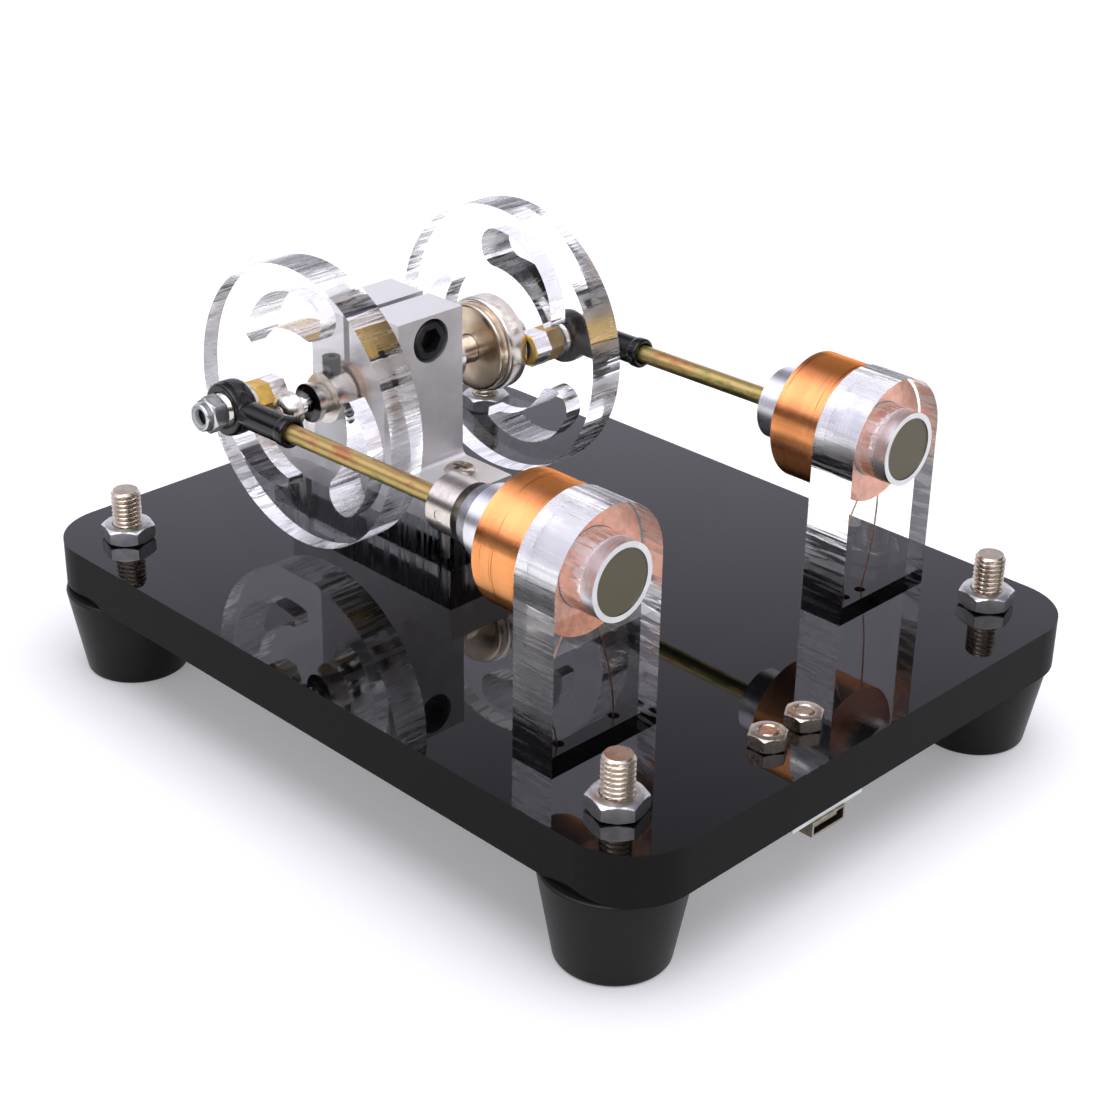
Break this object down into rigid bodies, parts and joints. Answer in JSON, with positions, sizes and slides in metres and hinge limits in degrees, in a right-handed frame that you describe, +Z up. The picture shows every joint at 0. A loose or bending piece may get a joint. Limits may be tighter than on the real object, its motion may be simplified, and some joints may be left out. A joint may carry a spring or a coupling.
{
  "type": "demonstration electric motor",
  "caption": "Tabletop twin-coil reciprocating electric motor: iron plungers in solenoid tubes turn a cranked shaft with clear flywheels.",
  "frame": {"origin": "middle of the footprint, on the surface that the rubber feet stand on", "axes": "+X from the cranked shaft to the coils, +Y along the shaft from the plain side to the timing magnet's side, +Z up"},
  "size_m": [0.14, 0.1094, 0.0753],
  "materials": {
    "black_acrylic": "polished black acrylic sheet",
    "clear_acrylic": "polished clear acrylic with laser-cut edges",
    "black_rubber": "moulded rubber, faint sheen",
    "zinc": "bright zinc plated steel",
    "yellow_zinc": "yellow zinc plated steel with an uneven tint",
    "nickel": "nickel plated, slightly warm",
    "aluminium": "milled aluminium, satin",
    "black_steel": "black oxide steel",
    "bronze": "oiled sintered bronze",
    "brass": "turned brass",
    "dark_iron": "turned soft iron",
    "black_plastic": "moulded black nylon",
    "copper": "enamelled copper wire",
    "olive_plastic": "dull olive brown plug",
    "pale_board": "white solder mask"
  },
  "bodies": {
    "base": {"base_plate": "black_acrylic", "foot_1": "black_rubber", "foot_2": "black_rubber", "foot_3": "black_rubber", "foot_4": "black_rubber", "foot_washers": "zinc", "foot_screws": "zinc", "foot_nuts": "zinc", "support_riser": "clear_acrylic", "shaft_support": "aluminium", "clamp_screw": "black_steel", "support_screws": "zinc", "support_nuts": "zinc", "bearing_bushes": "bronze", "coil_tube_near": "aluminium", "coil_tube_far": "aluminium", "tube_plug_near": "olive_plastic", "tube_plug_far": "olive_plastic", "coil_core_near": "copper", "coil_core_far": "copper", "winding_near": "copper", "winding_far": "copper", "coil_post_near": "clear_acrylic", "coil_post_far": "clear_acrylic", "leads_near": "copper", "leads_far": "copper", "socket_board": "pale_board", "socket_shell": "zinc", "board_screws": "zinc", "board_nuts": "zinc"},
    "crankshaft": {"shaft": "nickel", "shaft_collars": "nickel", "collar_screws": "nickel", "hub_washer": "zinc", "hub_screws": "nickel", "timing_magnet": "nickel", "magnet_flange": "nickel", "flywheel_near": "clear_acrylic", "flywheel_far": "clear_acrylic", "crank_post_near": "brass", "crank_post_far": "brass", "crank_studs": "zinc", "crank_washers": "zinc"},
    "plunger_near": {"plunger_head_near": "nickel", "plunger_core_near": "dark_iron", "wrist_pin_near": "nickel"},
    "rod_near": {"con_rod_near": "yellow_zinc", "rod_end_near": "black_plastic", "ball_near": "nickel", "crank_bolt_near": "zinc", "lock_nut_near": "zinc"},
    "plunger_far": {"plunger_head_far": "nickel", "plunger_core_far": "dark_iron", "wrist_pin_far": "nickel"},
    "rod_far": {"con_rod_far": "yellow_zinc", "rod_end_far": "black_plastic", "ball_far": "nickel", "crank_bolt_far": "zinc", "lock_nut_far": "zinc"}
  },
  "joints": [
    {"name": "crank_spin", "type": "hinge", "parent": "base", "child": "crankshaft", "pos_m": [-0.0314, -0.0015, 0.0513], "axis": [0, 1, 0], "continuous": true},
    {"name": "plunger_near_slide", "type": "slide", "parent": "base", "child": "plunger_near", "axis": [1, 0, 0], "range_m": [0, 0.0155]},
    {"name": "plunger_far_slide", "type": "slide", "parent": "base", "child": "plunger_far", "axis": [1, 0, 0], "range_m": [-0.0155, 0]},
    {"name": "rod_near_swing", "type": "hinge", "parent": "plunger_near", "child": "rod_near", "pos_m": [0.01584, -0.0339, 0.0523], "axis": [0, 1, 0], "range_deg": [-7.8, 8.37]},
    {"name": "rod_far_swing", "type": "hinge", "parent": "plunger_far", "child": "rod_far", "pos_m": [0.03134, 0.0309, 0.0523], "axis": [0, 1, 0], "range_deg": [-8.37, 7.8]}
  ],
  "couplings": [
    {"joint": "plunger_far_slide", "follows": "plunger_near_slide", "ratio": -1},
    {"joint": "rod_far_swing", "follows": "rod_near_swing", "ratio": -1}
  ]
}
